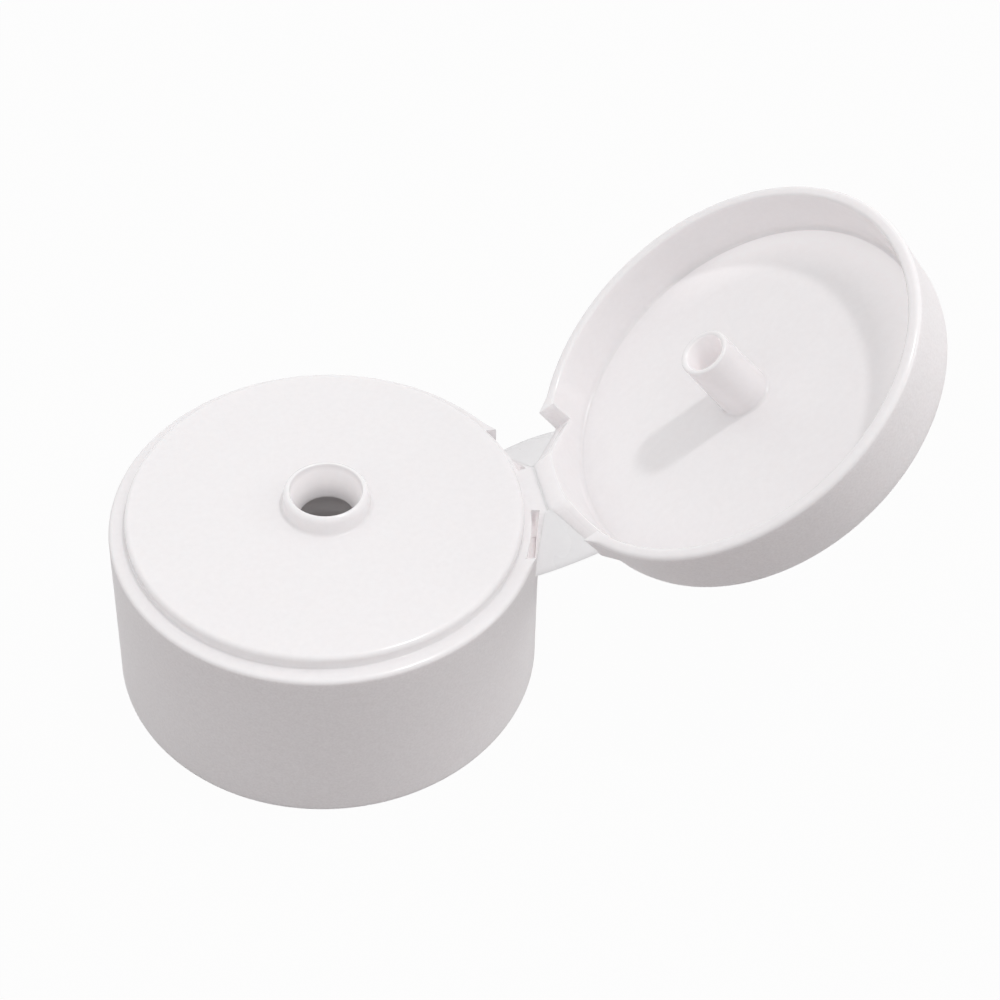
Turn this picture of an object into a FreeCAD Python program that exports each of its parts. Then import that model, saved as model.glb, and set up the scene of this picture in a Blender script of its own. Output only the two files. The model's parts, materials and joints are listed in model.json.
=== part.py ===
import FreeCAD, Part
import math
import os

import Sketcher

# Flip top cap: one polypropylene moulding of a base, a lid and the film hinge between them.
#
# The row frame: origin at the centre of the base's foot, +Z up along the closure's axis, and the hinge
# towards +X. The base is drawn where it stands. The lid is drawn shut, on the base's own axis, and its
# Placement then swings it open about the hinge. Each wing of the hinge is drawn flat, with its fold on
# the base along its own X axis, and its Placement lays it on that fold.

SAME_PLACE = 1e-4  # two rings nearer than this, in mm, are one and the same edge

DIMENSIONS = [
    # base: skirt, ledge and deck
    ("ledge_radius", 20.0, "outer radius of the skirt at the ledge that the lid shuts on"),
    ("skirt_draft", 0.8, "how much wider the skirt's radius is at its foot, by the mould's draft"),
    ("ledge_height", 18.0, "height of the ledge above the foot"),
    ("ledge_bevel", 0.35, "bevel of the ledge's outer edge"),
    ("skirt_wall", 1.3, "thickness of the outer skirt"),
    ("ledge_width", 1.5, "width of the ledge round the raised deck"),
    ("deck_step", 1.3, "rise of the deck above the ledge"),
    ("deck_bevel", 0.3, "bevel of the deck's edge"),
    ("deck_thickness", 1.3, "thickness of the deck"),
    ("ledge_wall", 0.5, "thickness of the ledge over the skirt's hollow"),
    # base: the neck socket inside the skirt
    ("socket_radius", 14.0, "radius of the socket wall that carries the neck's thread"),
    ("socket_lift", 0.4, "height of the socket sleeve's mouth above the foot"),
    ("socket_top", 14.6, "height where the threaded wall ends"),
    ("land_radius", 13.6, "radius of the plain wall above the thread"),
    ("sleeve_wall", 1.2, "thickness of the socket sleeve"),
    ("plug_radius", 10.6, "outer radius of the plug seal that enters the neck's mouth"),
    ("plug_wall", 0.9, "thickness of the plug seal"),
    ("plug_length", 2.2, "length of the plug seal below the deck"),
    ("rib_count", 8, "ribs between the sleeve and the skirt"),
    ("rib_thickness", 0.9, "thickness of a rib"),
    ("rib_lift", 5.0, "height of the ribs' lower edges above the foot"),
    ("rib_embed", 0.25, "how far a rib runs into the walls and the deck that it joins"),
    # base: the nozzle in the middle of the deck
    ("throat_radius", 2.6, "radius of the dispensing orifice, at the foot of the nozzle's funnel"),
    ("mouth_radius", 3.35, "radius of the funnel at the lip's crest"),
    ("lip_radius", 4.0, "outer radius of the lip at its crest"),
    ("lip_foot_radius", 4.45, "outer radius of the lip where it leaves the deck"),
    ("lip_height", 1.7, "height of the lip above the deck"),
    ("lip_round", 0.28, "rounding of the lip's crest"),
    ("spout_wall", 1.15, "wall round the orifice, below the deck"),
    ("spout_length", 0.6, "how far that wall reaches below the deck"),
    # lid
    ("parting_gap", 0.1, "gap between the ledge and the rim of the shut lid"),
    ("rim_setback", 0.15, "how far the lid's rim lies inside the edge of the ledge"),
    ("rim_bevel", 0.2, "bevel of the rim's two edges"),
    ("lid_fit", 0.18, "radial clearance of the rim round the deck"),
    ("lid_draft", 0.2, "how much the lid's bore narrows between rim and floor"),
    ("lid_lean", 0.35, "how much the lid's outside narrows between rim and top"),
    ("lid_top_wall", 2.5, "thickness of the lid's top"),
    ("lid_top_bevel", 0.9, "bevel of the lid's top edge"),
    ("floor_depth", 5.2, "depth of the lid's floor below the rim"),
    ("floor_blend", 0.35, "bevel between the lid's wall and its floor"),
    ("pin_tip_radius", 2.35, "outer radius of the hollow pin at its tip"),
    ("pin_root_radius", 2.5, "outer radius of the pin where it leaves the floor"),
    ("pin_reach", 2.25, "how far the pin stands out past the rim"),
    ("pin_wall", 0.55, "wall of the hollow pin"),
    ("pin_bore_depth", 6.2, "depth of the pin's bore from its tip"),
    ("pin_tip_bevel", 0.15, "bevel of the pin's tip"),
    ("pin_blend", 0.25, "bevel that leads the pin into the floor"),
    # butterfly hinge
    ("hinge_setout", 0.62, "distance of the hinge axis outside the ledge radius"),
    ("open_angle", 139.0, "angle in degrees between shut and the stable open position"),
    ("film_half", 2.9, "half the length of the middle film"),
    ("film_thickness", 0.4, "thickness of the film at the folds and of the wings"),
    ("fold_gap", 0.06, "running clearance round each fold"),
    ("wing_span", 5.5, "reach of a wing's folds along the hinge axis"),
    ("wing_setback", 2.12, "how far a wing's outer corners lie back from the hinge axis"),
    ("wing_tip", 0.7, "length missing from a wing's narrow end"),
    ("notch_end", 9.1, "distance of the notch's end faces from the middle of the hinge"),
    ("block_end", 10.4, "distance of the hinge pad's ends from its middle"),
    ("pit_start", 3.3, "distance of the pits from the middle of the hinge"),
    ("pit_ledge", 0.5, "width of the ledge left between the deck and a pit"),
    ("fold_wall", 0.6, "wall left outside each pit, under the wing's fold"),
    ("pit_margin", 0.7, "depth of a pit below the wing's outer corner"),
    ("pit_floor", 1.0, "thickness of the floor under a pit"),
    ("pit_back", 1.2, "wall between a pit and the skirt's hollow"),
    ("pad_margin", 0.6, "how far a hinge pad runs straight past the wing's outer corner"),
    ("pad_bevel", 1.3, "length of the bevel that ends a hinge pad"),
    ("pad_taper", 35.0, "angle in degrees of that bevel"),
    ("cut_overrun", 1.0, "how far a cut runs on past the faces that it opens"),
]

doc = FreeCAD.newDocument("flip_top_cap")
sheet = doc.addObject("Spreadsheet::Sheet", "size")
for row, (alias, number, meaning) in enumerate(DIMENSIONS, start=1):
    sheet.set(f"A{row}", meaning)
    sheet.set(f"B{row}", str(number))
    sheet.setAlias(f"B{row}", alias)
doc.recompute()

# Heights and places that several sketches share, as expressions of the sheet's cells.
DECK_RADIUS = "(size.ledge_radius - size.ledge_width)"
DECK_TOP = "(size.ledge_height + size.deck_step)"
DECK_UNDER = f"({DECK_TOP} - size.deck_thickness)"
HOLLOW_TOP = "(size.ledge_height - size.ledge_wall)"
RIM = "(size.ledge_height + size.parting_gap)"
RIM_RADIUS = "(size.ledge_radius - size.rim_setback)"
FLOOR = f"({RIM} + size.floor_depth)"
LID_BORE = f"({DECK_RADIUS} + size.lid_fit)"
SLEEVE_OUTER = "(size.socket_radius + size.sleeve_wall)"
HINGE_REACH = "(size.ledge_radius + size.hinge_setout)"
HINGE_HEIGHT = "(size.ledge_height + size.parting_gap / 2)"
FOLD_CLEAR = "(size.film_thickness / 2 + size.fold_gap)"
# A wing keeps its shape both shut and open when its outer corners drop from the hinge by the setback
# over the tangent of a quarter of the opening angle.
FOLD_DROP = "(size.wing_setback / tan(size.open_angle * 1 deg / 4))"
CORNER_Y = "(size.film_half + size.wing_span)"
CORNER_X = f"({HINGE_REACH} - size.wing_setback)"
CORNER_RUN = "sqrt(size.wing_span ^ 2 + size.wing_setback ^ 2)"
FACET_ANGLE = "atan(size.wing_setback / size.wing_span)"
# Distance of the slanted facet under a wing from the closure's axis.
FACET = f"({HINGE_REACH} * cos({FACET_ANGLE}) + size.film_half * sin({FACET_ANGLE}))"
PAD_REACH = f"({FOLD_DROP} + size.pad_margin)"
PIT_FLOOR = f"(size.ledge_height - {FOLD_DROP} - size.pit_margin)"
PIT_INNER = f"({DECK_RADIUS} + size.pit_ledge)"


def value(expression):
    """The number that an expression of the sheet's cells comes to."""
    return float(sheet.evalExpression(expression))


def origin_feature(body, role):
    """One of a body's own origin planes or axes, found by its role."""
    return next(f for f in body.Origin.OriginFeatures if f.Role == role)


def hold(sketch, geometry, point, expressions):
    """Holds one point of a sketch at the two distances from its origin that the expressions give."""
    for kind, axis, expression in zip(("DistanceX", "DistanceY"), (-2, -1), expressions):
        if expression == "0":
            sketch.addConstraint(Sketcher.Constraint("PointOnObject", geometry, point, axis))
            continue
        number = value(expression)
        index = sketch.addConstraint(Sketcher.Constraint(kind, -1, 1, geometry, point, number))
        sketch.setExpression(f"Constraints[{index}]", expression)


def outline(body, name, role, corners, arcs=None):
    """A closed outline through its corners, each a pair of expressions.

    arcs gives the sides that are arcs: the number of the corner that the side leaves, and the centre
    and radius of the arc as expressions. Every other side is straight.
    """
    arcs = arcs or {}
    sketch = body.newObject("Sketcher::SketchObject", name)
    sketch.AttachmentSupport = [(origin_feature(body, role), "")]
    sketch.MapMode = "FlatFace"
    places = [FreeCAD.Vector(value(x), value(y), 0) for x, y in corners]
    ends = []
    for i, start in enumerate(places):
        stop = places[(i + 1) % len(places)]
        if i not in arcs:
            side = sketch.addGeometry(Part.LineSegment(start, stop))
            ends.append((side, 1, 2))
            continue
        centre = FreeCAD.Vector(value(arcs[i][0]), value(arcs[i][1]), 0)
        left_turn = (start - centre).cross(stop - centre).z > 0
        first, last = (start, stop) if left_turn else (stop, start)
        circle = Part.Circle(centre, FreeCAD.Vector(0, 0, 1), (start - centre).Length)
        arc = Part.ArcOfCircle(circle, circle.parameter(first), circle.parameter(last))
        side = sketch.addGeometry(arc)
        index = sketch.addConstraint(Sketcher.Constraint("Radius", side, value(arcs[i][2])))
        sketch.setExpression(f"Constraints[{index}]", arcs[i][2])
        ends.append((side, 1, 2) if left_turn else (side, 2, 1))
    for i, (side, first, last) in enumerate(ends):
        following, start, _ = ends[(i + 1) % len(ends)]
        sketch.addConstraint(Sketcher.Constraint("Coincident", side, last, following, start))
        hold(sketch, side, first, corners[i])
    return sketch


def turned(body, kind, name, sketch, angle=360):
    """A Revolution or Groove of a sketch about the closure's axis."""
    feature = body.newObject(f"PartDesign::{kind}", name)
    feature.Profile = sketch
    feature.ReferenceAxis = (sketch, ["V_Axis"])
    feature.Angle = angle
    doc.recompute()
    return feature


def extruded(body, kind, name, sketch, length, reverse=False, taper=None):
    """A Pad or Pocket of a sketch, its length and taper given as expressions."""
    feature = body.newObject(f"PartDesign::{kind}", name)
    feature.Profile = sketch
    feature.Reversed = reverse
    feature.setExpression("Length", length)
    if taper:
        feature.setExpression("TaperAngle", taper)
    doc.recompute()
    return feature


def edged(body, kind, name, size, rings):
    """Rounds or bevels the body's full circular edges that lie at the given radii and heights.

    kind is Fillet or Chamfer, and size the fillet's radius or the bevel's width.
    """
    shape = body.Tip.Shape
    wanted = [(value(r), value(z)) for r, z in rings]
    edges = []
    for i, edge in enumerate(shape.Edges, start=1):
        if edge.Degenerated or not isinstance(edge.Curve, Part.Circle):
            continue
        at = (edge.Curve.Radius, edge.Curve.Center.z)
        if any(math.dist(at, ring) < SAME_PLACE for ring in wanted):
            edges.append(f"Edge{i}")
    if len(edges) != len(rings):
        raise RuntimeError(f"{name}: {len(edges)} edges found for {len(rings)} rings")
    edging = body.newObject(f"PartDesign::{kind}", name)
    edging.Base = (edging.BaseFeature or body.Tip, edges)
    edging.setExpression("Radius" if kind == "Fillet" else "Size", size)
    doc.recompute()
    return edging


def mirrored(body, name, features):
    """The same features again on the other side of the hinge's middle plane."""
    mirror = body.newObject("PartDesign::Mirrored", name)
    mirror.Originals = features
    mirror.MirrorPlane = (origin_feature(body, "XZ_Plane"), [""])
    body.Tip = mirror
    doc.recompute()
    return mirror


def lift(sketch, height):
    """Moves a sketch off its origin plane, along the plane's normal."""
    sketch.setExpression("AttachmentOffset.Base.z", height)


def facet_sketch(body, name, distance, corners):
    """An outline in a plane parallel to the slanted facet under the +Y wing.

    It measures along the facet from the middle film's end, and up from the foot.
    """
    sketch = outline(body, name, "YZ_Plane", corners)
    turn = FreeCAD.Rotation(FreeCAD.Vector(0, 1, 0), value(FACET_ANGLE))
    sketch.AttachmentOffset = FreeCAD.Placement(FreeCAD.Vector(), turn)
    angle = FACET_ANGLE
    # the film's end, projected square onto the plane
    along = f"(size.film_half * cos({angle}) - {HINGE_REACH} * sin({angle}))"
    sketch.setExpression("AttachmentOffset.Base.x", f"{distance} * sin({angle}) + {along} * cos({angle})")
    sketch.setExpression("AttachmentOffset.Base.z", f"{distance} * cos({angle}) - {along} * sin({angle})")
    return sketch


def fold_groove(body, name, rise):
    """The running clearance round the fold that joins the +Y wing to this body.

    rise is -1 for the base, whose fold drops away from the hinge, and 1 for the shut lid.
    """
    fold = FreeCAD.Vector(-value("size.wing_setback"), value("size.wing_span"), rise * value(FOLD_DROP))
    groove = body.newObject("PartDesign::SubtractiveCylinder", name)
    groove.setExpression("Radius", FOLD_CLEAR)
    overrun = 2 * value(FOLD_CLEAR)
    groove.Height = fold.Length + 2 * overrun
    start = FreeCAD.Vector(value(HINGE_REACH), value("size.film_half"), value(HINGE_HEIGHT))
    start -= FreeCAD.Vector(fold).normalize() * overrun
    turn = FreeCAD.Rotation(FreeCAD.Vector(0, 0, 1), fold)
    groove.Placement = FreeCAD.Placement(start, turn)
    doc.recompute()
    return groove


def film_cylinder(body, kind, name, radius, length):
    """A cylinder about the hinge axis: the middle film's bead, or the room for it."""
    cylinder = body.newObject(f"PartDesign::{kind}", name)
    cylinder.setExpression("Radius", radius)
    cylinder.setExpression("Height", length)
    start = FreeCAD.Vector(value(HINGE_REACH), value(length) / 2, value(HINGE_HEIGHT))
    turn = FreeCAD.Rotation(FreeCAD.Vector(1, 0, 0), 90)
    cylinder.Placement = FreeCAD.Placement(start, turn)
    doc.recompute()
    return cylinder


def hinge_pad(body, name, height, reach, bevel, downwards):
    """The faceted pad that carries the folds outside a round wall.

    Its middle facet holds the film and its slanted facets the wings. It runs straight for the reach,
    and a bevel then leads it back into the wall.
    """
    end = "size.block_end"
    wall = f"sqrt((size.ledge_radius - size.ledge_bevel) ^ 2 - {end} ^ 2)"
    core = f"sqrt({SLEEVE_OUTER} ^ 2 - {end} ^ 2)"
    corners = [
        (core, f"-{end}"),
        (wall, f"-{end}"),
        (CORNER_X, f"-{CORNER_Y}"),
        (HINGE_REACH, "-size.film_half"),
        (HINGE_REACH, "size.film_half"),
        (CORNER_X, CORNER_Y),
        (wall, end),
        (core, end),
    ]
    straight = outline(body, f"{name}Outline", "XY_Plane", corners)
    lift(straight, height)
    extruded(body, "Pad", name, straight, reach, reverse=downwards)
    bevelled = outline(body, f"{name}BevelOutline", "XY_Plane", corners)
    lift(bevelled, f"{height} {'-' if downwards else '+'} {reach}")
    extruded(body, "Pad", f"{name}Bevel", bevelled, bevel, reverse=downwards, taper="-size.pad_taper")


def fold_notch(body, name, inner, rise, top):
    """Cuts the wall away along the +Y wing's fold, and square down at the notch's end.

    inner is the distance from the closure's axis where the cut starts, rise is the sign of the fold's
    slope, and top is a height clear of the wall that is cut.
    """
    corner = f"{HINGE_HEIGHT} {'+' if rise > 0 else '-'} {FOLD_DROP}"
    end = f"((size.notch_end - size.film_half) / cos({FACET_ANGLE}))"
    sketch = facet_sketch(body, f"{name}Outline", inner, [
        ("0", HINGE_HEIGHT),
        (CORNER_RUN, corner),
        (end, corner),
        (end, top),
        ("0", top),
    ])
    return extruded(body, "Pocket", name, sketch, f"{HINGE_REACH} - {inner} + size.cut_overrun", reverse=True)


def skirt_bore(height):
    """The skirt's inner radius at a height, which follows the outside's draft."""
    return f"(size.ledge_radius + size.skirt_draft * (1 - {height} / size.ledge_height) - size.skirt_wall)"


def build_base():
    """The base: skirt, deck, nozzle, neck socket and the base's half of the hinge."""
    body = doc.addObject("PartDesign::Body", "Base")
    body.Label = "base"
    crest = f"({DECK_TOP} + size.lip_height)"
    spout_end = f"({DECK_UNDER} - size.spout_length)"

    blank = outline(body, "BlankOutline", "XZ_Plane", [
        ("0", "0"),
        ("size.ledge_radius + size.skirt_draft", "0"),
        ("size.ledge_radius", "size.ledge_height"),
        (DECK_RADIUS, "size.ledge_height"),
        (DECK_RADIUS, DECK_TOP),
        ("size.lip_foot_radius", DECK_TOP),
        ("size.lip_radius", crest),
        ("size.mouth_radius", crest),
        ("size.throat_radius", spout_end),
        ("0", spout_end),
    ])
    turned(body, "Revolution", "Blank", blank)
    lip_crest = [("size.lip_radius", crest), ("size.mouth_radius", crest)]
    edged(body, "Chamfer", "LedgeBevel", "size.ledge_bevel", [("size.ledge_radius", "size.ledge_height")])
    edged(body, "Chamfer", "DeckBevel", "size.deck_bevel", [(DECK_RADIUS, DECK_TOP)])
    edged(body, "Fillet", "LipRound", "size.lip_round", lip_crest)

    hinge_pad(body, "HingePad", "size.ledge_height", PAD_REACH, "size.pad_bevel", True)

    # the hollow between skirt and sleeve: shallower where the pits of the hinge need a back and a floor
    step = f"({PIT_FLOOR} - size.pit_floor)"
    back = f"({PIT_INNER} - size.pit_back)"
    hollow = outline(body, "HollowOutline", "XZ_Plane", [
        (SLEEVE_OUTER, "0"),
        (skirt_bore("0"), "0"),
        (skirt_bore(step), step),
        (back, step),
        (back, HOLLOW_TOP),
        (SLEEVE_OUTER, HOLLOW_TOP),
    ])
    turned(body, "Groove", "Hollow", hollow)
    sector = f"asin(size.block_end / {back})"
    shoulder = outline(body, "ShoulderOutline", "XZ_Plane", [
        (SLEEVE_OUTER, step),
        (skirt_bore(step), step),
        (skirt_bore(HOLLOW_TOP), HOLLOW_TOP),
        (SLEEVE_OUTER, HOLLOW_TOP),
    ])
    turn = FreeCAD.Rotation(FreeCAD.Vector(0, 1, 0), value(sector))
    shoulder.AttachmentOffset = FreeCAD.Placement(FreeCAD.Vector(), turn)
    turned(body, "Groove", "Shoulder", shoulder, 360 - 2 * value(sector))

    # the neck socket, with the plug seal and the orifice's wall left standing below the deck
    plug_end = f"({DECK_UNDER} - size.plug_length)"
    plug_bore = "(size.plug_radius - size.plug_wall)"
    spout = "(size.throat_radius + size.spout_wall)"
    socket = outline(body, "SocketOutline", "XZ_Plane", [
        ("0", "0"),
        (SLEEVE_OUTER, "0"),
        (SLEEVE_OUTER, "size.socket_lift"),
        ("size.socket_radius", "size.socket_lift"),
        ("size.socket_radius", "size.socket_top"),
        ("size.land_radius", "size.socket_top"),
        ("size.land_radius", DECK_UNDER),
        ("size.plug_radius", DECK_UNDER),
        ("size.plug_radius", plug_end),
        (plug_bore, plug_end),
        (plug_bore, DECK_UNDER),
        (spout, DECK_UNDER),
        (spout, spout_end),
        ("0", spout_end),
    ])
    turned(body, "Groove", "Socket", socket)

    half = "size.rib_thickness / 2"
    inner = f"({SLEEVE_OUTER} - size.rib_embed)"
    outer = f"({skirt_bore('size.rib_lift')} + size.rib_embed)"
    rib = outline(body, "RibOutline", "XY_Plane", [
        (inner, f"-{half}"), (outer, f"-{half}"), (outer, half), (inner, half),
    ])
    between = FreeCAD.Rotation(FreeCAD.Vector(0, 0, 1), 180 / value("size.rib_count"))
    rib.AttachmentOffset = FreeCAD.Placement(FreeCAD.Vector(), between)
    lift(rib, "size.rib_lift")
    one = extruded(body, "Pad", "Rib", rib, f"{HOLLOW_TOP} - size.rib_lift + size.rib_embed")
    ring = body.newObject("PartDesign::PolarPattern", "Ribs")
    ring.Originals = [one]
    ring.Axis = (origin_feature(body, "Z_Axis"), [""])
    ring.Angle = 360
    ring.setExpression("Occurrences", "size.rib_count")
    body.Tip = ring
    doc.recompute()

    # pits beside the middle block, then the wall cut down to the folds
    pit_line = f"({FACET} - size.fold_wall)"
    pit_end = f"(size.notch_end - size.fold_wall * sin({FACET_ANGLE}))"

    def on_arc(y):
        return f"sqrt({PIT_INNER} ^ 2 - {y} ^ 2)"

    def on_line(y):
        return f"(({pit_line} - {y} * sin({FACET_ANGLE})) / cos({FACET_ANGLE}))"

    pit = outline(body, "PitOutline", "XY_Plane", [
        (on_arc("size.pit_start"), "size.pit_start"),
        (on_line("size.pit_start"), "size.pit_start"),
        (on_line(pit_end), pit_end),
        (on_arc(pit_end), pit_end),
    ], {3: ("0", "0", PIT_INNER)})
    lift(pit, "size.ledge_height")
    pit_cut = extruded(body, "Pocket", "Pit", pit, f"size.ledge_height - {PIT_FLOOR}")
    mirrored(body, "OtherPit", [pit_cut])
    inside_pit = f"(({PIT_INNER} + {pit_line}) / 2)"
    notch = fold_notch(body, "FoldNotch", inside_pit, -1, "(size.ledge_height + size.cut_overrun)")
    mirrored(body, "OtherFoldNotch", [notch])
    groove = fold_groove(body, "FoldGroove", -1)
    mirrored(body, "OtherFoldGroove", [groove])
    film_cylinder(body, "AdditiveCylinder", "MiddleFilm", "size.film_thickness / 2", "2 * size.film_half")
    return body


def build_lid():
    """The lid, drawn shut: flat-topped shell, hollow sealing pin and the lid's half of the hinge."""
    body = doc.addObject("PartDesign::Body", "Lid")
    body.Label = "lid"
    top = f"({FLOOR} + size.lid_top_wall)"
    top_radius = f"({RIM_RADIUS} - size.lid_lean)"
    blank = outline(body, "ShellOutline", "XZ_Plane", [
        ("0", RIM),
        (RIM_RADIUS, RIM),
        (top_radius, top),
        ("0", top),
    ])
    turned(body, "Revolution", "Shell", blank)
    edged(body, "Chamfer", "TopBevel", "size.lid_top_bevel", [(top_radius, top)])
    edged(body, "Chamfer", "RimBevel", "size.rim_bevel", [(RIM_RADIUS, RIM)])

    hinge_pad(body, "HingePad", RIM, PAD_REACH, "size.pad_bevel", False)

    bore = f"({LID_BORE} - size.lid_draft)"
    hollow = outline(body, "HollowOutline", "XZ_Plane", [
        ("0", RIM),
        (LID_BORE, RIM),
        (bore, FLOOR),
        ("0", FLOOR),
    ])
    turned(body, "Groove", "Hollow", hollow)
    edged(body, "Chamfer", "InnerRimBevel", "size.rim_bevel", [(LID_BORE, RIM)])
    edged(body, "Chamfer", "FloorBlend", "size.floor_blend", [(bore, FLOOR)])

    # the pin hangs from the floor past the rim, and is bored from its tip
    tip = f"({RIM} - size.pin_reach)"
    root = f"({FLOOR} + size.pin_blend)"
    pin_bore = "(size.pin_tip_radius - size.pin_wall)"
    pin = outline(body, "PinOutline", "XZ_Plane", [
        ("0", tip),
        ("size.pin_tip_radius", tip),
        ("size.pin_root_radius", FLOOR),
        ("size.pin_root_radius", root),
        ("0", root),
    ])
    turned(body, "Revolution", "Pin", pin)
    core = outline(body, "PinBoreOutline", "XZ_Plane", [
        ("0", tip),
        (pin_bore, tip),
        (pin_bore, f"{tip} + size.pin_bore_depth"),
        ("0", f"{tip} + size.pin_bore_depth"),
    ])
    turned(body, "Groove", "PinBore", core)
    pin_rings = [("size.pin_tip_radius", tip), (pin_bore, tip)]
    edged(body, "Chamfer", "PinTipBevel", "size.pin_tip_bevel", pin_rings)
    edged(body, "Chamfer", "PinBlend", "size.pin_blend", [("size.pin_root_radius", FLOOR)])

    inside_lid = f"({bore} - size.cut_overrun)"
    notch = fold_notch(body, "FoldNotch", inside_lid, 1, "(size.ledge_height - size.cut_overrun)")
    mirrored(body, "OtherFoldNotch", [notch])
    groove = fold_groove(body, "FoldGroove", 1)
    mirrored(body, "OtherFoldGroove", [groove])
    room = "2 * size.film_half + 2 * size.fold_gap"
    film_cylinder(body, "SubtractiveCylinder", "FilmRoom", FOLD_CLEAR, room)

    # swung open about the hinge axis
    axis_point = FreeCAD.Vector(value(HINGE_REACH), 0, value(HINGE_HEIGHT))
    swing = FreeCAD.Rotation(FreeCAD.Vector(0, 1, 0), value("size.open_angle"))
    body.Placement = FreeCAD.Placement(FreeCAD.Vector(), swing, axis_point)
    return body


def fold_direction(side, rise, opening):
    """A fold from its end at the middle film to the wing's outer corner.

    side is 1 for the +Y wing and -1 for the other, rise is -1 for the fold on the base and 1 for the
    fold on the lid, and opening is how far the lid has swung from shut, in degrees.
    """
    shut = FreeCAD.Vector(
        -value("size.wing_setback"), side * value("size.wing_span"), rise * value(FOLD_DROP)
    )
    return FreeCAD.Rotation(FreeCAD.Vector(0, 1, 0), opening).multVec(shut)


def build_wing(name, side):
    """One wing: a flat triangle of film between its fold on the base and its fold on the lid."""
    body = doc.addObject("PartDesign::Body", name.title().replace("_", ""))
    body.Label = name
    reach_squared = f"({CORNER_RUN} ^ 2 + {FOLD_DROP} ^ 2)"
    reach = f"sqrt({reach_squared})"
    spread = f"acos(({CORNER_RUN} ^ 2 - {FOLD_DROP} ^ 2) / {reach_squared})"
    plate = outline(body, "WingOutline", "XY_Plane", [
        ("size.wing_tip", "0"),
        (reach, "0"),
        (f"{reach} * cos({spread})", f"{reach} * sin({spread})"),
        (f"size.wing_tip * cos({spread})", f"size.wing_tip * sin({spread})"),
    ])
    lift(plate, "-size.film_thickness / 2")
    extruded(body, "Pad", "Wing", plate, "size.film_thickness")
    for fold, angle in (("BaseFold", 0), ("LidFold", value(spread))):
        edge = body.newObject("PartDesign::AdditiveCylinder", fold)
        edge.setExpression("Radius", "size.film_thickness / 2")
        edge.setExpression("Height", f"{reach} - size.wing_tip")
        along = FreeCAD.Rotation(FreeCAD.Vector(0, 0, 1), angle).multVec(FreeCAD.Vector(1, 0, 0))
        turn = FreeCAD.Rotation(FreeCAD.Vector(0, 0, 1), along)
        edge.Placement = FreeCAD.Placement(along * value("size.wing_tip"), turn)
        doc.recompute()

    # laid on the base's fold, turned up to the lid's fold where the lid stands open
    across = fold_direction(side, -1, 0).normalize()
    to_lid = fold_direction(side, 1, value("size.open_angle"))
    normal = across.cross(to_lid).normalize()
    turn = FreeCAD.Rotation(across, normal.cross(across), normal, "XYZ")
    hinge_end = FreeCAD.Vector(value(HINGE_REACH), side * value("size.film_half"), value(HINGE_HEIGHT))
    body.Placement = FreeCAD.Placement(hinge_end, turn)
    return body


sub_parts = [
    build_base(),
    build_lid(),
    build_wing("hinge_wing_left", 1),
    build_wing("hinge_wing_right", -1),
]
doc.recompute()

for item in doc.Objects:
    if {"Invalid", "Error"} & set(item.State):
        raise RuntimeError(f"{item.Name} failed to build: {item.State}")
for part in sub_parts:
    if part.Shape.isNull() or not part.Shape.isValid():
        raise RuntimeError(f"{part.Label} has no valid shape")

os.makedirs("parts", exist_ok=True)
for part in sub_parts:
    part.Shape.exportStep(f"parts/{part.Label}.step")
    box = part.Shape.BoundBox
    print(
        f"{part.Label}: {len(part.Shape.Solids)} solid, {part.Shape.Volume:.2f} mm3, "
        f"{box.XLength:.2f} x {box.YLength:.2f} x {box.ZLength:.2f} mm"
    )
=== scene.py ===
# %% [markdown]
# # A flip top cap in white polypropylene
#
# The cap is one moulding: a base that screws on a bottle, a lid, and between them a film hinge with two
# triangular wings that snaps the lid open and shut. The measured model is loaded first. It says where
# every body is, where the hinge turns and how big the whole cap may be. Everything that follows only
# dresses that frame.

# %% Load the frame
import json
import math

import bpy
import numpy as np
from mathutils import Matrix


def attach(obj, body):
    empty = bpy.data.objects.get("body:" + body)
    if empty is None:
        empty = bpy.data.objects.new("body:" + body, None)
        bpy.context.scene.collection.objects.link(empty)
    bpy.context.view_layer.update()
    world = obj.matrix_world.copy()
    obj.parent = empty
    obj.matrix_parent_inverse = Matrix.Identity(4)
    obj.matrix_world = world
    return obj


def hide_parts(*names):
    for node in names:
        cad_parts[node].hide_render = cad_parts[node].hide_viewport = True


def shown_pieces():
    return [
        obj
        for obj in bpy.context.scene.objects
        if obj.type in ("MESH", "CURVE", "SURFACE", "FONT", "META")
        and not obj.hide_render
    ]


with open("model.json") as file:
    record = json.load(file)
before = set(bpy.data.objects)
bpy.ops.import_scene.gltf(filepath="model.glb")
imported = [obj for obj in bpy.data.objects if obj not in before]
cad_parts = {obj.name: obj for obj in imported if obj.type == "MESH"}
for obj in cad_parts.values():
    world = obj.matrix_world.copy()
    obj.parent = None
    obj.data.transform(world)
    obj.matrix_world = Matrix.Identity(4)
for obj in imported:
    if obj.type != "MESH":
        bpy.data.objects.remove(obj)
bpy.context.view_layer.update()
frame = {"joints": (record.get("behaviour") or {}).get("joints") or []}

MM = 0.001  # every size below is in millimetres, and a mesh is in metres

# %% [markdown]
# ## The sizes of the moulding
#
# The hinge's axis and the angle to which it opens come from the frame's own joint. The other sizes are
# those of the mould: a wall is 1.2 to 1.5 mm thick, edges that a hand meets are rounded by 0.3 to
# 0.5 mm, and the skirt widens a little towards its foot so that it leaves the tool.

# %% Sizes of base and lid
LEDGE_R = 20.0  # the skirt's radius at the ledge that the lid shuts on
LEDGE_Z = 18.0
SKIRT_DRAFT = 0.8  # how much wider the skirt is at its foot
SKIRT_WALL = 1.3
DECK_R = 18.5
DECK_Z = 19.3
DECK_UNDER = 18.0
HOLLOW_TOP = 17.5  # the top of the hollow between socket and skirt

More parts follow.
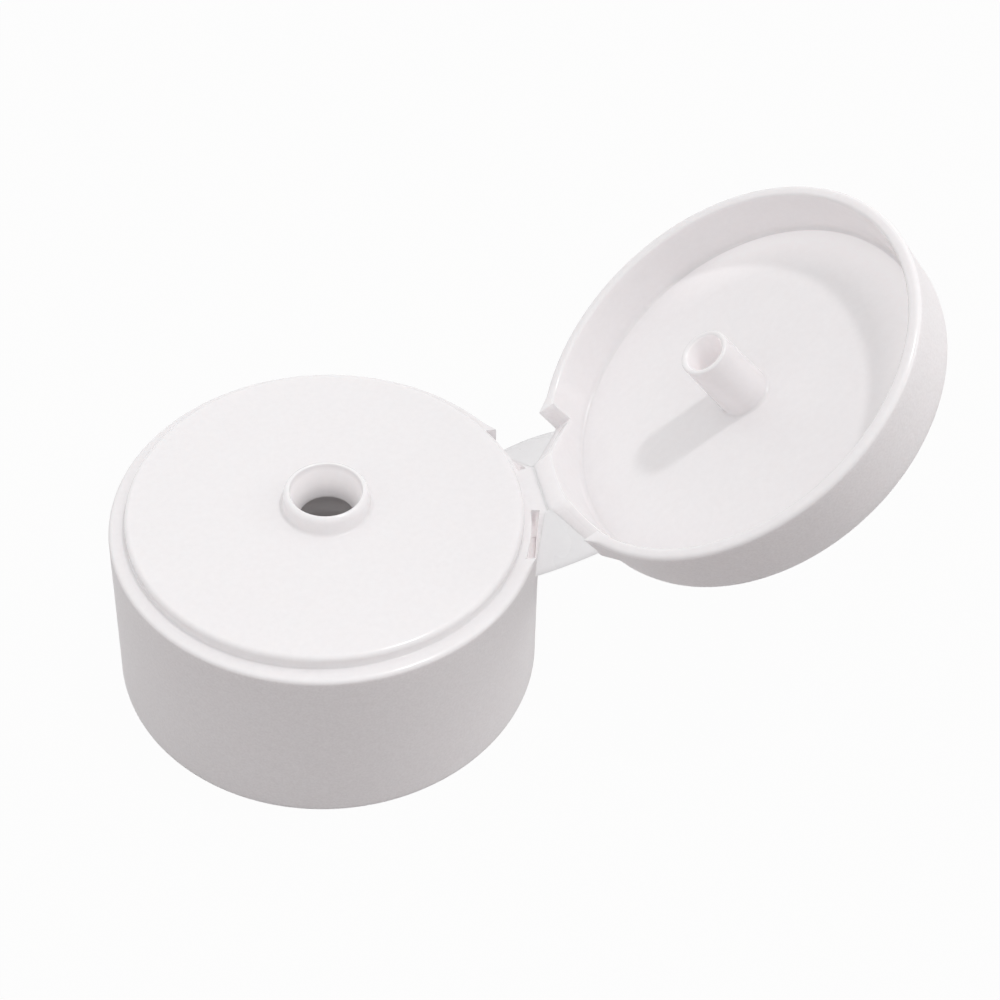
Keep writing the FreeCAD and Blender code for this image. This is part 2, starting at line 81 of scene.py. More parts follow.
RIM_Z = LEDGE_Z + 0.1  # the shut lid's rim, just above the ledge
FLOOR_Z = RIM_Z + 5.2  # the shut lid's floor
LID_TOP = FLOOR_Z + 2.5
print(f"the base is {DECK_Z} mm high to its deck, and the shut cap {LID_TOP:.1f} mm")

# %% Sizes of the hinge
lid_joint = next(j for j in frame["joints"] if j["name"] == "lid_hinge")
HINGE_X = lid_joint["pos_m"][0] / MM
HINGE_Z = lid_joint["pos_m"][2] / MM
OPEN = math.radians(-lid_joint["range_deg"][0])

FILM = 0.4  # the middle film's thickness
FILM_HALF = 2.9  # half its length, at the ends of which the wings start
WING_SPAN = 5.5  # how far a wing reaches sideways
WING_SETBACK = 2.12  # how far its outer end lies behind the hinge's axis
WING_DROP = WING_SETBACK / math.tan(OPEN / 4)  # and how far below it, so that it stays taut at both ends
WING_END = FILM_HALF + WING_SPAN
PIT_START = (2.74, 2.88)  # a pit's inner end rises between these distances from the hinge's middle
PIT_END = (8.48, 8.6)
NOTCH_END = 8.7
NOTCH_SLOPE = 0.07
PAD_END = 10.4
PAD_END_X = 16.7
PAD_REACH = WING_DROP + 0.6  # how far the pad is straight, from the ledge downwards
PAD_TAPER = math.tan(math.radians(35))
print(f"the hinge is {HINGE_X:.2f} mm from the axis and opens {math.degrees(OPEN):.0f} degrees")

# %% [markdown]
# ## Columns and rings
#
# Base and lid are turned parts, apart from the hinge, where a faceted pad, notches and pits break the
# round form. So each is one grid: columns run round the axis, rings run along the profile, and each
# ring may have another radius and height at each column. Far from the hinge the columns are plain
# angles. Near the hinge they keep a constant distance from its middle instead, because the pits and
# notches have straight ends, and they stand closer together where something ends.

# %% Columns
STATION_R = DECK_R  # the radius at which a column's angle and its distance from the middle agree
COLUMN_STEP = math.radians(1.6)


def smooth(x, low, high):
    """0 below low, 1 above high, and the cubic 3t^2 - 2t^3 between them."""
    t = np.clip((x - low) / (high - low), 0, 1)
    return t * t * (3 - 2 * t)


def column_angles():
    """The columns' angles: at chosen distances from the middle near the hinge, and every step elsewhere."""
    notch_far, last = NOTCH_END + NOTCH_SLOPE, PAD_END + 0.2
    runs = [  # from, to and the number of columns
        (0, 2.73, 7), (2.73, FILM_HALF, 5), (FILM_HALF, 8.3, 24), (8.3, PIT_END[0], 2),
        (PIT_END[0], 8.62, 5), (8.62, notch_far, 6), (notch_far, last, 16),
    ]
    near = np.concatenate([np.linspace(a, b, n, endpoint=False) for a, b, n in runs])
    near = np.arcsin(near / STATION_R)
    start = math.asin(last / STATION_R)
    far = np.linspace(start, math.pi, round((math.pi - start) / COLUMN_STEP), endpoint=False)
    half = np.concatenate([near, far])
    return np.concatenate([half, [math.pi], -half[:0:-1]])


COLUMN_ANGLE = column_angles()
FACING = np.cos(COLUMN_ANGLE) > 0  # the half of the columns on the hinge's side
COLUMN_Y = np.where(FACING, np.abs(STATION_R * np.sin(COLUMN_ANGLE)), STATION_R)
print(len(COLUMN_ANGLE), "columns")

# %% [markdown]
# A profile is a list of rings. Three helpers write most of it: rounds, straight runs between two
# points, and heights between two levels that may differ from column to column.

# %% Rings


def arc(r, z, radius, start, end, steps, rise=None):
    """Rings on a round: centre (r, z), from start to end in degrees, measured from outwards to up.

    With a rise the round is an ellipse: radius times the cosine outwards, rise times the sine upwards.
    """
    rise = radius if rise is None else rise
    turns = np.radians(np.linspace(start, end, steps))
    return [(r + radius * math.cos(t), z + rise * math.sin(t)) for t in turns]


def straight(start, end, steps, first=0.0):
    """Rings on the straight line between two points of the profile, from a first share of its length."""
    shares = np.linspace(first, 1, steps)
    return [(start[0] + (end[0] - start[0]) * t, start[1] + (end[1] - start[1]) * t) for t in shares]


def between(start, end, steps):
    """Heights from start to end in equal steps, without the first."""
    return [start + (end - start) * t for t in np.linspace(0, 1, steps)[1:]]


def placed(rings):
    """Points of a list of rings, each a pair of radius and height, as an array of rings by columns.

    A column's angle at radius r is its own far from the hinge and on small radii, and arcsin(y / r),
    where it keeps its distance y from the middle, on the outer radii near the hinge.
    """
    r = np.array([ring[0] + 0 * COLUMN_ANGLE for ring in rings])
    z = np.array([ring[1] + 0 * COLUMN_ANGLE for ring in rings])
    near_hinge = 1 - smooth(np.abs(COLUMN_ANGLE), math.radians(36), math.radians(52))
    square = near_hinge * smooth(r, 15.4, 17.2)
    y = STATION_R * np.sin(COLUMN_ANGLE)
    angle = COLUMN_ANGLE + square * (np.arcsin(np.clip(y / np.maximum(r, 1e-6), -1, 1)) - COLUMN_ANGLE)
    return np.stack([r * np.cos(angle), r * np.sin(angle), z], axis=-1)


print("a round of 1 mm in three rings:", [(round(r, 2), round(z, 2)) for r, z in arc(10, 0, 1, 0, 90, 3)])

# %% [markdown]
# ## From a grid to a mesh
#
# A grid closes round its columns. Along its rings it either closes too, like a ring doughnut, or it ends
# in a pole at each end. The faces come from index arithmetic. The sign of the enclosed volume, a third
# of the sum of each face's corner times its normal, says whether the faces point outwards.

# %% Mesh from a grid
SHARP = math.radians(38)  # an edge that turns more than this is shaded as an edge


def grid_faces(rings, columns, looped):
    """Four corners for each face between neighbouring rings and columns."""
    row = np.arange(rings if looped else rings - 1)[:, None]
    column = np.arange(columns)[None, :]
    next_row, next_column = (row + 1) % rings, (column + 1) % columns
    return np.stack([
        row * columns + column, row * columns + next_column,
        next_row * columns + next_column, next_row * columns + column,
    ], axis=-1).reshape(-1, 4)


def pole_faces(ring, columns, pole, flip):
    """Triangles from each edge of a ring to its pole."""
    edge = ring * columns + np.arange(columns)
    pair = (np.roll(edge, -1), edge) if flip else (edge, np.roll(edge, -1))
    return np.stack([*pair, np.full(columns, pole)], axis=-1).tolist()


def mesh_piece(name, points, looped, body, grain=0.0, glow=0.0):
    """A closed piece from points (rings, columns, 3) in mm that rides on a body of the frame.

    grain and glow are values per point, which the material reads as attributes.
    """
    rings, columns = points.shape[:2]
    verts = points.reshape(-1, 3)
    quads = grid_faces(rings, columns, looped)
    faces = quads.tolist()
    if not looped:
        for ring, flip in ((0, True), (rings - 1, False)):
            faces += pole_faces(ring, columns, len(verts), flip)
            verts = np.vstack([verts, points[ring].mean(axis=0)])
    corners = verts[quads]
    normals = np.cross(corners[:, 2] - corners[:, 0], corners[:, 3] - corners[:, 1])
    if (corners.mean(axis=1) * normals).sum() < 0:
        faces = [face[::-1] for face in faces]
    mesh = bpy.data.meshes.new(name)
    mesh.from_pydata((verts * MM).tolist(), [], faces)
    for label, given in (("grain", grain), ("glow", glow)):
        grid = np.broadcast_to(given, (rings, columns))
        values = np.concatenate([grid.ravel(), grid[[0, -1], 0]])  # a pole takes its ring's value
        attribute = mesh.attributes.new(label, "FLOAT", "POINT")
        attribute.data.foreach_set("value", values[:len(verts)].astype(np.float32))
    mesh.shade_smooth()
    mesh.set_sharp_from_angle(angle=SHARP)
    piece = bpy.data.objects.new(name, mesh)
    bpy.context.scene.collection.objects.link(piece)
    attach(piece, body)
    print(f"{name}: {len(verts)} points, {len(faces)} faces")
    return piece


print("a grid of 3 rings and 4 columns has", len(grid_faces(3, 4, False)), "faces and 8 at its poles")

# %% [markdown]
# ## The hinge's outline
#
# Seen from above, the pad has a middle facet as long as the film and two facets that lean back under
# the wings. The wing's folds run down the base's facet and up the lid's. The wall is cut away along
# them, so its edge follows the fold and then stands straight up where the notch ends.

# %% Outline of the hinge
FOLD_COVER = 0.1  # the cut stays this far from the fold, so the film's root is covered
PAD_X = np.interp(COLUMN_Y, [0, FILM_HALF, WING_END, PAD_END],
                  [HINGE_X, HINGE_X, HINGE_X - WING_SETBACK, PAD_END_X])
PAD_R = np.where(FACING & (COLUMN_Y < PAD_END), np.hypot(PAD_X, COLUMN_Y), 0)
NOTCH = (smooth(COLUMN_Y, FILM_HALF - 0.01, FILM_HALF + 0.01)
         * (1 - smooth(COLUMN_Y, NOTCH_END - NOTCH_SLOPE, NOTCH_END + NOTCH_SLOPE)))
FOLD = WING_DROP * np.clip((COLUMN_Y - FILM_HALF) / WING_SPAN, 0, 1)  # the fold's distance from the ledge
WALL_CUT = NOTCH * np.maximum(FOLD - FOLD_COVER, 0)
NEAR_PAD = 1 - smooth(COLUMN_Y, NOTCH_END + 0.1, PAD_END)
EDGE_ROUND = 0.45 - 0.42 * NEAR_PAD  # the wall's outer edge is rounded, and crisp at the hinge


def joined(a, b, soft=0.1):
    """The larger of two radii, the corner between them softened: (a + b + sqrt((a-b)^2 + s^2)) / 2."""
    return (a + b + np.sqrt((a - b) ** 2 + soft ** 2)) / 2


print(f"the deepest cut beside the wings is {WALL_CUT.max():.2f} mm")

# %% [markdown]
# ## The skirt
#
# The base's profile starts at the foot, climbs the skirt, crosses the ledge, the deck and the nozzle's
# lip, goes down the orifice, and comes back under the deck past the plug seal, the threaded socket and
# the hollow inside the skirt. As it never meets the axis, the grid closes both ways. It is written here
# in five parts, and the first is the outside of the skirt with the hinge's pad.

# %% Skirt and hinge pad
FOOT_ROUND = 0.2


def skirt(z):
    """The skirt's outer radius: straight, and wider at the foot by the draft."""
    return LEDGE_R + SKIRT_DRAFT * (1 - z / LEDGE_Z)


def base_outside(z):
    """Skirt and hinge pad together. Below its straight part the pad leans back into the skirt."""
    below = np.maximum(LEDGE_Z - PAD_REACH - z, 0)
    return joined(skirt(z), PAD_R - below * PAD_TAPER)


wall_top = LEDGE_Z - WALL_CUT
wall_outer = base_outside(wall_top - EDGE_ROUND)
climb = [*np.linspace(0.5, 12.6, 9), *np.linspace(12.9, 14.6, 10)]  # closest where the pad leans back
climb += between(14.6, wall_top - EDGE_ROUND, 9)
skirt_rings = arc(skirt(0) - FOOT_ROUND, FOOT_ROUND, FOOT_ROUND, -90, -10, 4)
skirt_rings += [(base_outside(z), z) for z in climb]
skirt_rings += arc(wall_outer - EDGE_ROUND, wall_top - EDGE_ROUND, EDGE_ROUND, 0, 90, 8)[1:]
print("rings up the skirt:", len(skirt_rings))

# %% [markdown]
# ## The ledge and the hinge's pits
#
# Behind each wing's fold a straight sided pit is sunk into the ledge, so that the mould can form the
# film thin from both sides. A thin wall is left between pit and wing. Elsewhere the same rings lie
# flat on the ledge, and there they all run up against the deck's wall.

# %% Ledge and pits
PIT = smooth(COLUMN_Y, *PIT_START) * (1 - smooth(COLUMN_Y, *PIT_END)) * FACING
PIT_Z = LEDGE_Z - WING_DROP - 0.7
PIT_R = DECK_R + 0.75
PIT_BEVEL = 0.1
FACET_TILT = math.atan(WING_SETBACK / WING_SPAN)
FACET_DISTANCE = HINGE_X * math.cos(FACET_TILT) + FILM_HALF * math.sin(FACET_TILT)
FOLD_WALL = np.interp(COLUMN_Y, [3.3, 8.4], [0.75, 0.25])  # it thins towards the wing's outer edge
PIT_LINE = 1 - FOLD_WALL / FACET_DISTANCE  # the pit's outer side, as a share of the facet's radius
DECK_FOOT_ROUND = 0.12
DECK_ROUND = 0.5

wall_inner = PIT * wall_outer * PIT_LINE + (1 - PIT) * (PIT_R + 0.15)
pit_floor = wall_top - PIT * (wall_top - PIT_Z)
pit_rim = LEDGE_Z - 0.08 * NOTCH
depths = [PIT_BEVEL + (wall_top - PIT_Z - PIT_BEVEL) * part for part in (0.3, 0.6, 0.9)]
ledge_rings = [(wall_inner + PIT_BEVEL * side * PIT, wall_top - PIT_BEVEL * down * PIT)
               for side, down in ((1, 0), (0.3, 0.3), (0, 1))]
ledge_rings += [(wall_inner, wall_top - PIT * depth) for depth in depths]
ledge_rings += [(wall_inner, pit_floor), ((wall_inner + PIT_R) / 2, pit_floor), (PIT_R, pit_floor)]
ledge_rings += [(PIT_R, pit_floor + (pit_rim - pit_floor) * part) for part in (0.1, 0.4, 0.7, 1.0)]
ledge_rings += [(PIT_R - 0.03, LEDGE_Z - 0.02 * NOTCH), (PIT_R - 0.1, LEDGE_Z)]
ledge_rings += arc(DECK_R + DECK_FOOT_ROUND, LEDGE_Z + DECK_FOOT_ROUND, DECK_FOOT_ROUND, 270, 180, 4)
ledge_rings += arc(DECK_R - DECK_ROUND, DECK_Z - DECK_ROUND, DECK_ROUND, 0, 90, 10)
print(f"the pits are {LEDGE_Z - PIT_Z:.2f} mm deep")

# %% [markdown]
# ## The deck and the nozzle
#
# The deck is flat and polished. In its middle a low nozzle rises from a fillet to a rounded crest, and
# a funnel leads down to the orifice, which ends in a short spout under the deck.

# %% Deck and nozzle
LIP_Z = DECK_Z + 1.85
LIP_R = 3.5  # the crest's radius
LIP_FOOT_R = 4.1
LIP_FILLET = 0.35
CREST_OUT, CREST_DOWN = 0.5, 0.75  # the half axes of the crest's outer round
CREST_IN = 0.12
THROAT_R = 2.6
SPOUT_R = 3.75
SPOUT_Z = DECK_UNDER - 0.5

deck_rings = [(r, DECK_Z) for r in np.linspace(17.6, 5.4, 10)]
deck_rings += arc(LIP_FOOT_R + LIP_FILLET, DECK_Z + LIP_FILLET, LIP_FILLET, 270, 190, 7)
deck_rings += arc(LIP_R, LIP_Z - CREST_DOWN, CREST_OUT, 10, 90, 12, rise=CREST_DOWN)
deck_rings += arc(LIP_R, LIP_Z - CREST_IN, CREST_IN, 100, 168, 5)
deck_rings += straight((LIP_R - 0.14, LIP_Z - 0.25), (THROAT_R, SPOUT_Z + 0.15), 8)
deck_rings += [(THROAT_R + 0.02, SPOUT_Z + 0.05), (THROAT_R + 0.08, SPOUT_Z)]
deck_rings += [(SPOUT_R - 0.1, SPOUT_Z), (SPOUT_R, SPOUT_Z + 0.1), (SPOUT_R, DECK_UNDER - 0.1)]
print(f"the nozzle stands {LIP_Z - DECK_Z:.2f} mm proud, round an orifice {2 * THROAT_R} mm across")

# %% [markdown]
# ## The thread in the neck socket
#
# Inside the base a helical ridge takes hold of the bottle's neck. It climbs 4.23 mm a turn, the pitch
# of the common 28 mm neck, for one and a half turns, and runs out at both ends. The ridge could be a
# separate helix, but as a bulge of the socket's own grid it has no seam.

# %% Thread
PITCH = 4.23
THREAD_TURNS = 1.5
THREAD_START = 3.2
THREAD_HEIGHT = 0.85
RUN_OUT = 0.06  # in turns
THREAD_CREST, THREAD_FOOT = 0.35, 1.25  # half the ridge's width at its crest and at its foot


def thread(z):
    """How far the ridge stands in at height z: a trapezoid about the helix z = start + pitch * turns."""
    ridge = 0 * COLUMN_ANGLE
    for whole in (0, 1):
        turns = (COLUMN_ANGLE % math.tau) / math.tau + whole
        ends = smooth(turns, 0, RUN_OUT) * (1 - smooth(turns, THREAD_TURNS - RUN_OUT, THREAD_TURNS))
        off = np.abs(z - THREAD_START - PITCH * turns)
        ridge = np.maximum(ridge, ends * (1 - smooth(off, THREAD_CREST, THREAD_FOOT)))
    return THREAD_HEIGHT * ridge


print(f"the thread climbs {PITCH * THREAD_TURNS:.1f} mm")

# %% [markdown]
# ## Under the deck
#
# The plug seal is a short ring that enters the bottle's mouth. Outside it the bottle's rim meets the
# deck, then come a plain land, the threaded wall and the sleeve's outside, up to the hollow's top.

# %% Plug seal and neck socket
PLUG_R = 10.6
PLUG_INNER = 9.7
PLUG_Z = 15.8
LAND_R = 13.6
SOCKET_R = 14.0
SOCKET_TOP = 14.6
SLEEVE_R = 15.2
SLEEVE_Z = 0.4
CORNER = 0.2  # the corners under the deck are bevelled by this much

socket_rings = [(r, DECK_UNDER) for r in (4.0, 6.5, PLUG_INNER - CORNER)]
socket_rings += [(PLUG_INNER, DECK_UNDER - CORNER), (PLUG_INNER, PLUG_Z + 0.3), (9.82, PLUG_Z + 0.06)]
socket_rings += [(10.1, PLUG_Z), (10.4, PLUG_Z + 0.06), (PLUG_R, PLUG_Z + 0.4)]
socket_rings += [(PLUG_R, DECK_UNDER - CORNER), (PLUG_R + CORNER, DECK_UNDER)]
socket_rings += [(LAND_R - CORNER, DECK_UNDER), (LAND_R, DECK_UNDER - CORNER)]
socket_rings += [(LAND_R, SOCKET_TOP + 0.2), (LAND_R + 0.06, SOCKET_TOP + 0.05), (13.9, SOCKET_TOP)]
socket_rings += [(SOCKET_R - thread(z), z) for z in np.linspace(SOCKET_TOP - 0.15, 0.9, 58)]
socket_rings += [(SOCKET_R + 0.1, 0.6), (14.35, 0.42), (14.85, SLEEVE_Z), (15.1, 0.5)]
socket_rings += [(SLEEVE_R, z) for z in (0.8, 4.0, 8.0, 12.0, 17.2)] + [(SLEEVE_R + 0.2, HOLLOW_TOP)]
print("rings under the deck and in the socket:", len(socket_rings))

# %% [markdown]
# ## The hollow inside the skirt
#
# The skirt is a thin wall, so the hollow follows its draft. Behind the hinge's pits the hollow steps
# inwards, so that the pits keep a wall of their own.

# %% Hollow
BACK_R = 17.8
STEP_Z = PIT_Z - 1.0
STEP_ROUND = 0.25
INNER_FOOT_ROUND = 0.15
BEHIND_PITS = 1 - smooth(np.abs(COLUMN_ANGLE), math.radians(37), math.radians(41))


def bore(z):
    """The skirt's inner radius."""
    return skirt(z) - SKIRT_WALL


def hollow(z, shallow):
    """The hollow's outer radius at height z: the bore, and a shallower radius behind the pits."""
    return (1 - BEHIND_PITS) * bore(z) + BEHIND_PITS * shallow


hollow_rings = [(hollow(17.4, BACK_R) - 0.3, HOLLOW_TOP)]
hollow_rings += [(hollow(z, BACK_R), z) for z in (17.2, 15.4, STEP_Z + STEP_ROUND)]
hollow_rings += [(hollow(STEP_Z, r), STEP_Z) for r in (BACK_R + STEP_ROUND, bore(STEP_Z) - STEP_ROUND)]
hollow_rings += [(bore(z), z) for z in (STEP_Z - STEP_ROUND, 10.0, 6.0, 2.0, 0.4)]
hollow_rings += arc(bore(0) + INNER_FOOT_ROUND, INNER_FOOT_ROUND, INNER_FOOT_ROUND, 180, 260, 4)
print("rings inside the skirt:", len(hollow_rings))

# %% [markdown]
# ## The base's surface
#
# Two values per point go with the mesh. Grain is 1 where the mould is spark eroded, which is the
# outside of the skirt, and 0 where it is polished. Glow is painted light: the material adds it as a weak
# light of its own, fixed to the surface, at the funnel, in the pits and a little in the socket. It stands
# in for light that comes through the thin milky walls, and it lifts the shade in these hollows.
# Scattering alone would need much longer paths than a render follows.

# %% Base
# painted light: emission strengths that brighten the funnel, the pits and the socket
FUNNEL_GLOW = 0.13
PIT_GLOW = 0.18
SOCKET_GLOW = 0.043

base_points = placed(skirt_rings + ledge_rings + deck_rings + socket_rings + hollow_rings)
base_r = np.hypot(base_points[..., 0], base_points[..., 1])
base_z = base_points[..., 2]
base_grain = smooth(base_r, 18.7, 19.4) * (base_z > 0.05) * (1 - smooth(base_z, 17.6, 17.95))

in_socket = (base_r < SLEEVE_R + 0.05) & (base_z < DECK_UNDER + 0.01)
in_funnel = (base_r < LIP_R) & (base_z > SPOUT_Z + 0.01)
below_crest = LIP_Z - base_z
funnel_light = smooth(below_crest, 0.2, 0.8) * (1 - smooth(below_crest, 1.9, 3.3))
in_pit = (PIT > 0.5) & (base_z < LEDGE_Z - 0.5) & (base_z > PIT_Z - 0.01)
in_pit &= (base_r > PIT_R - 0.02) & (base_r < 20.3) & (base_r < PIT_LINE * base_outside(base_z) + 0.02)
base_glow = FUNNEL_GLOW * in_funnel * funnel_light + PIT_GLOW * in_pit + SOCKET_GLOW * in_socket

cap_base = mesh_piece("cap_base", base_points, True, "base", base_grain, base_glow)
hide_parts("base")

# %% [markdown]
# ## The lid
#
# The lid is worked out shut, standing on the base, where its profile is easy to say: over the top, down
# the outside to the rim, up the inside to the floor, down the sealing pin and up its bore. Both ends of
# the profile are poles. First comes the outside, with the pad that mirrors the base's.

# %% Outside of the lid
LID_R = 19.85
LID_LEAN = 0.35  # how much the outside narrows between rim and top
TOP_R = 18.1  # where the flat top ends
TOP_ROUND = 1.4
CROWN = 0.1  # how much the top falls towards its edge


def lid_outside(z):
    """Wall and hinge pad together. Above its straight part the pad leans back into the wall."""
    wall = LID_R - LID_LEAN * (z - RIM_Z) / (LID_TOP - RIM_Z)
    return joined(wall, PAD_R - np.maximum(z - RIM_Z - PAD_REACH, 0) * PAD_TAPER)


rim_z = RIM_Z + WALL_CUT
rim_outer = lid_outside(rim_z + EDGE_ROUND)
fall = [*np.linspace(24.1, 21.62, 12)] + between(21.62, rim_z + EDGE_ROUND, 11)
lid_rings = [(r, LID_TOP - CROWN * (r / TOP_R) ** 2) for r in (1.0, 5.0, 9.0, 13.0, 16.5)]
lid_rings += arc(TOP_R, LID_TOP - CROWN - TOP_ROUND, TOP_ROUND, 90, 4, 14)
lid_rings += [(lid_outside(z), z) for z in fall]
lid_rings += arc(rim_outer - EDGE_ROUND, rim_z + EDGE_ROUND, EDGE_ROUND, 0, -90, 7)[1:]
print("rings over the lid's outside:", len(lid_rings))

# %% [markdown]
# ## The inside of the lid
#
# The lid's wall is bored with a little draft, and its floor is flat and polished. The pin is hollow,
# because a solid one would leave a sink mark in the top: a core pin in the mould keeps its walls thin.

# %% Inside of the lid
LID_BORE = 18.68
LID_DRAFT = 0.2
INNER_ROUND = 0.3 - 0.16 * NEAR_PAD
BLEND = 0.35  # between wall and floor
PIN_FOOT_R, PIN_TIP_R, PIN_BORE = 2.5, 2.35, 1.8
PIN_BLEND = 0.3
PIN_EDGE = 0.18
PIN_TIP_Z = RIM_Z - 2.25


def lid_bore(z):
    """The lid's inner radius, narrower towards the floor by the draft."""
    return LID_BORE - LID_DRAFT * (z - RIM_Z) / (FLOOR_Z - RIM_Z)


rim_inner_z = rim_z + INNER_ROUND
lid_rings += arc(lid_bore(rim_z) + INNER_ROUND, rim_inner_z, INNER_ROUND, -90, -180, 7)
lid_rings += [(lid_bore(z), z) for z in between(rim_inner_z, FLOOR_Z - BLEND, 9)]
lid_rings += arc(lid_bore(FLOOR_Z) - BLEND, FLOOR_Z - BLEND, BLEND, 4, 90, 7)
lid_rings += [(r, FLOOR_Z) for r in np.linspace(17.0, 3.0, 9)]

pin_foot = FLOOR_Z - PIN_BLEND
lid_rings += arc(PIN_FOOT_R + PIN_BLEND, pin_foot, PIN_BLEND, 90, 180, 7)
lid_rings += straight((PIN_FOOT_R, pin_foot), (PIN_TIP_R, PIN_TIP_Z + PIN_EDGE), 8, first=0.1)
lid_rings += arc(PIN_TIP_R - PIN_EDGE, PIN_TIP_Z + PIN_EDGE, PIN_EDGE, 0, -90, 6)
lid_rings += arc(PIN_BORE + 0.3, PIN_TIP_Z + 0.3, 0.3, -90, -180, 7)
lid_rings += [(PIN_BORE, PIN_TIP_Z + h) for h in (1.0, 3.0, 5.0, 5.7)]
lid_rings += [(1.5, PIN_TIP_Z + 6.1), (0.5, PIN_TIP_Z + 6.2)]
print(f"the pin reaches {RIM_Z - PIN_TIP_Z:.2f} mm past the rim")

# %% [markdown]
# ## The lid's surface
#
# Then the whole grid turns about the hinge's axis, x' = h + dx cos a + dz sin a and
# z' = h - dx sin a + dz cos a, to where the lid stands open. Its outside is grained down to the rim.
# The glow is painted light, fixed to the surface, so it turns with the lid and stays the same under
# any lamp. It is strongest on the floor where it meets the wall on the far side from the hinge, where it
# stands in for light that comes in through the wall and through the top and lifts the wall's shadow.

# %% Lid
# painted light: emission strengths that lift the shade on the lid's floor, inner wall, pin bore and the strip
# beside the hinge
FLOOR_GLOW = 0.02
FLOOR_EDGE_GLOW = 0.15
WALL_GLOW = 0.02
BORE_GLOW = 0.1
STRIP_GLOW = 0.03


def swung(points, angle=OPEN):
    """Points of the shut lid turned about the hinge's axis to where the lid stands open."""
    x, y, z = np.moveaxis(points, -1, 0)
    dx, dz = x - HINGE_X, z - HINGE_Z
    c, s = math.cos(angle), math.sin(angle)
    return np.stack([HINGE_X + dx * c + dz * s, y, HINGE_Z - dx * s + dz * c], axis=-1)


lid_points = placed(lid_rings)
lid_r = np.hypot(lid_points[..., 0], lid_points[..., 1])
lid_z = lid_points[..., 2]
lid_grain = smooth(lid_r, 18.75, 19.1) * smooth(lid_z, RIM_Z + 0.1, RIM_Z + 0.5)
lid_grain = np.maximum(lid_grain, lid_z > FLOOR_Z + 0.5)  # the top is grained to its middle

far_side = smooth(np.cos(COLUMN_ANGLE - math.radians(160)), 0.0, 0.7)
on_floor = (lid_r < 18.2) & (lid_r > PIN_FOOT_R - 0.1) & (np.abs(lid_z - FLOOR_Z) < 0.02)
on_wall = (lid_r > 17.9) & (lid_r < 18.7) & (lid_z < FLOOR_Z - 0.02) & (lid_z > RIM_Z + 0.2)
in_bore = (lid_r < PIN_BORE + 0.05) & (lid_z > PIN_TIP_Z + 0.15) & (lid_z < FLOOR_Z)
on_strip = (lid_r > 18.8) & (lid_z < rim_z + 0.03)  # the edge of the cut beside film and wings
# painted light, strongest at the floor's edge on the far side, where the wall's shadow lies
lid_glow = on_floor * (FLOOR_GLOW + FLOOR_EDGE_GLOW * far_side * smooth(lid_r, 12.5, 17.5))
lid_glow = lid_glow + WALL_GLOW * on_wall + BORE_GLOW * in_bore + STRIP_GLOW * on_strip * NEAR_PAD

cap_lid = mesh_piece("cap_lid", swung(lid_points), False, "lid", lid_grain, lid_glow)
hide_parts("lid")

# %% [markdown]
# ## The wings of the hinge
#
# Each wing is a triangle of film between its fold on the base and its fold on the lid. It could be a
# flat plate, but moulded film is thinner in its middle and bows a little when the lid stands open. So a
# wing is a tube: its section is a long flat stadium across the triangle, which grows from the narrow
# end to the outer edge.

# %% Wings
ACROSS = 25  # points across each face of a wing
END_ROUND = 7  # and on the round at each fold


def fold(side, rise, opening):
    """From the film's end to a wing's outer corner: on the base rise is -1, on the lid 1."""
    shut = np.array([HINGE_X - WING_SETBACK, side * WING_SPAN, HINGE_Z + rise * WING_DROP])
    return swung(shut, opening) - np.array([HINGE_X, 0, HINGE_Z])


def unit(vector):
    """The vector at length 1."""
    return vector / np.linalg.norm(vector)


def stadium():
    """Round a flat section: place from fold to fold, how far past a fold, and side of the film."""
    flat, turns = np.linspace(0, 1, ACROSS), np.radians(np.linspace(90, -90, END_ROUND + 2)[1:-1])
    along = np.concatenate([flat, np.ones(END_ROUND), flat[::-1], np.zeros(END_ROUND)])
    past = np.concatenate([np.zeros(ACROSS), np.cos(turns), np.zeros(ACROSS), -np.cos(turns)])
    face = np.concatenate([np.ones(ACROSS), np.sin(turns), -np.ones(ACROSS), -np.sin(turns)])
    return along[None, :, None], past[None, :, None], face[None, :, None]


def wing_points(side, bulge):
    """Rings along the wing, from its narrow end to its outer edge, each a stadium across the film.

    A ring's middle line runs from the base's fold to the lid's, and bows outwards by the bulge.
    """
    to_base, to_lid = fold(side, -1, 0), fold(side, 1, OPEN)
    normal, across, outwards = unit(np.cross(to_base, to_lid)), unit(to_lid - to_base), unit(to_base + to_lid)
    reach = np.concatenate([[0.018, 0.02], np.linspace(0.05, 0.985, 28), [0.998, 1.0]])
    full = np.interp(reach, [0.018, 0.04, 0.96, 1.0], [0.35, 1, 1, 0.3])[:, None, None]
    reach = reach[:, None, None]
    along, past, face = stadium()
    bow = 4 * along * (1 - along)
    half_thick = FILM / 2 * (0.62 - 0.1 * smooth(bow, 0.1, 0.9))
    points = np.array([HINGE_X, side * FILM_HALF, HINGE_Z]) + reach * (to_base * (1 - along) + to_lid * along)
    points = points + outwards * (bulge * reach ** 2 * bow)
    points = points + across * (past * FILM / 2 * full + (along - 0.5) * 0.24)
    return points + normal * (face * half_thick * full)


for name, side, bulge in (("wing_left", 1, 0.55), ("wing_right", -1, 0.1)):
    wing = mesh_piece(f"{name}_film", wing_points(side, bulge), False, name)
    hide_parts(f"hinge_{name}")

# %% [markdown]
# ## The middle film
#
# The middle film is a short bead at the bottom of the valley between base and lid. It is so short that
# its bending doesn't show, so it stays with the base while the lid turns past it.

# %% Middle film
BEAD_R = 0.1
BEAD_END_R = 0.06
BEAD_DROP = 0.12  # how far the bead's axis lies below the hinge's

